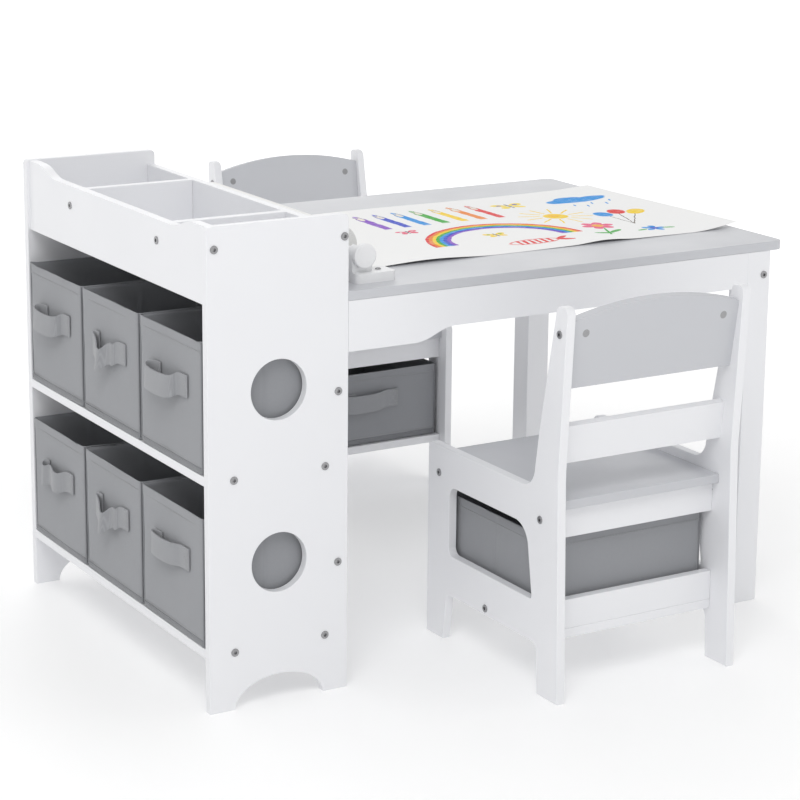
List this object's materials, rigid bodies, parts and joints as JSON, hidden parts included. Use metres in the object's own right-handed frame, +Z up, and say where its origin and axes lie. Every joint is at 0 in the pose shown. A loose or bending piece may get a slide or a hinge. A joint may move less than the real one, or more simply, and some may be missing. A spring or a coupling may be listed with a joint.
{
  "type": "kids table and chairs",
  "caption": "Children's art table with a bin storage unit at one end, a paper roll across the top and a pair of chairs with under-seat bins.",
  "frame": {"origin": "on the floor, under the middle of the whole set's bounding box", "axes": "+X along the tabletop from the storage unit to the free end, +Y across it from the near chair to the far chair, +Z up"},
  "size_m": [0.874, 1.1628, 0.6],
  "materials": {
    "white_board": "white paint, satin",
    "grey_board": "light grey paint, satin",
    "bin_fabric": "grey woven",
    "strap_fabric": "grey webbing",
    "bolt_steel": "zinc plated",
    "drawing_paper": "matt white",
    "core_card": "matt brown",
    "white_plastic": "satin white"
  },
  "bodies": {
    "table": {"side_panel_front": "white_board", "side_panel_rear": "white_board", "tray_lip_board": "white_board", "tray_back_board": "white_board", "tray_floor": "white_board", "tray_divider_front": "white_board", "tray_divider_rear": "white_board", "middle_shelf": "white_board", "bottom_shelf": "white_board", "upper_back_rail": "white_board", "lower_back_rail": "white_board", "table_top": "grey_board", "apron_front": "white_board", "apron_rear": "white_board", "apron_end": "white_board", "leg_front": "white_board", "leg_rear": "white_board", "table_bolts": "bolt_steel", "roll_brackets": "white_plastic", "paper_sheet": "drawing_paper"},
    "roller": {"roll_shaft": "white_board", "roll_knobs": "white_plastic", "roll_core": "core_card", "roll_paper": "drawing_paper"},
    "bin_upper_front": {"bin_upper_front": "bin_fabric", "bin_upper_front_handle": "strap_fabric"},
    "bin_upper_middle": {"bin_upper_middle": "bin_fabric", "bin_upper_middle_handle": "strap_fabric"},
    "bin_upper_rear": {"bin_upper_rear": "bin_fabric", "bin_upper_rear_handle": "strap_fabric"},
    "bin_lower_front": {"bin_lower_front": "bin_fabric", "bin_lower_front_handle": "strap_fabric"},
    "bin_lower_middle": {"bin_lower_middle": "bin_fabric", "bin_lower_middle_handle": "strap_fabric"},
    "bin_lower_rear": {"bin_lower_rear": "bin_fabric", "bin_lower_rear_handle": "strap_fabric"},
    "near_chair": {"near_chair_side_left": "white_board", "near_chair_side_right": "white_board", "near_chair_seat": "grey_board", "near_chair_front_rail": "white_board", "near_chair_rear_rail": "white_board", "near_chair_base_board": "white_board", "near_chair_lower_rail": "white_board", "near_chair_mid_rail": "white_board", "near_chair_backrest": "grey_board", "near_chair_bolts": "bolt_steel"},
    "near_chair_bin": {"near_chair_bin": "bin_fabric", "near_chair_bin_handle": "strap_fabric"},
    "far_chair": {"far_chair_side_left": "white_board", "far_chair_side_right": "white_board", "far_chair_seat": "grey_board", "far_chair_front_rail": "white_board", "far_chair_rear_rail": "white_board", "far_chair_base_board": "white_board", "far_chair_lower_rail": "white_board", "far_chair_mid_rail": "white_board", "far_chair_backrest": "grey_board", "far_chair_bolts": "bolt_steel"},
    "far_chair_bin": {"far_chair_bin": "bin_fabric", "far_chair_bin_handle": "strap_fabric"}
  },
  "joints": [
    {"name": "bin_upper_front_slide", "type": "slide", "parent": "table", "child": "bin_upper_front", "axis": [-1, 0, 0], "range_m": [0, 0.14]},
    {"name": "bin_upper_middle_slide", "type": "slide", "parent": "table", "child": "bin_upper_middle", "axis": [-1, 0, 0], "range_m": [0, 0.14]},
    {"name": "bin_upper_rear_slide", "type": "slide", "parent": "table", "child": "bin_upper_rear", "axis": [-1, 0, 0], "range_m": [0, 0.14]},
    {"name": "bin_lower_front_slide", "type": "slide", "parent": "table", "child": "bin_lower_front", "axis": [-1, 0, 0], "range_m": [0, 0.14]},
    {"name": "bin_lower_middle_slide", "type": "slide", "parent": "table", "child": "bin_lower_middle", "axis": [-1, 0, 0], "range_m": [0, 0.14]},
    {"name": "bin_lower_rear_slide", "type": "slide", "parent": "table", "child": "bin_lower_rear", "axis": [-1, 0, 0], "range_m": [0, 0.14]},
    {"name": "paper_roll_spin", "type": "hinge", "parent": "table", "child": "roller", "pos_m": [-0.193, -0.119, 0.538], "axis": [0, 1, 0], "continuous": true},
    {"name": "near_chair_slide", "type": "slide", "parent": "table", "child": "near_chair", "axis": [0, -1, 0], "range_m": [-0.1, 0.3]},
    {"name": "near_chair_bin_slide", "type": "slide", "parent": "near_chair", "child": "near_chair_bin", "axis": [0, 1, 0], "range_m": [0, 0.15]},
    {"name": "far_chair_slide", "type": "slide", "parent": "table", "child": "far_chair", "axis": [0, 1, 0], "range_m": [-0.1, 0.3]},
    {"name": "far_chair_bin_slide", "type": "slide", "parent": "far_chair", "child": "far_chair_bin", "axis": [0, -1, 0], "range_m": [0, 0.15]}
  ]
}
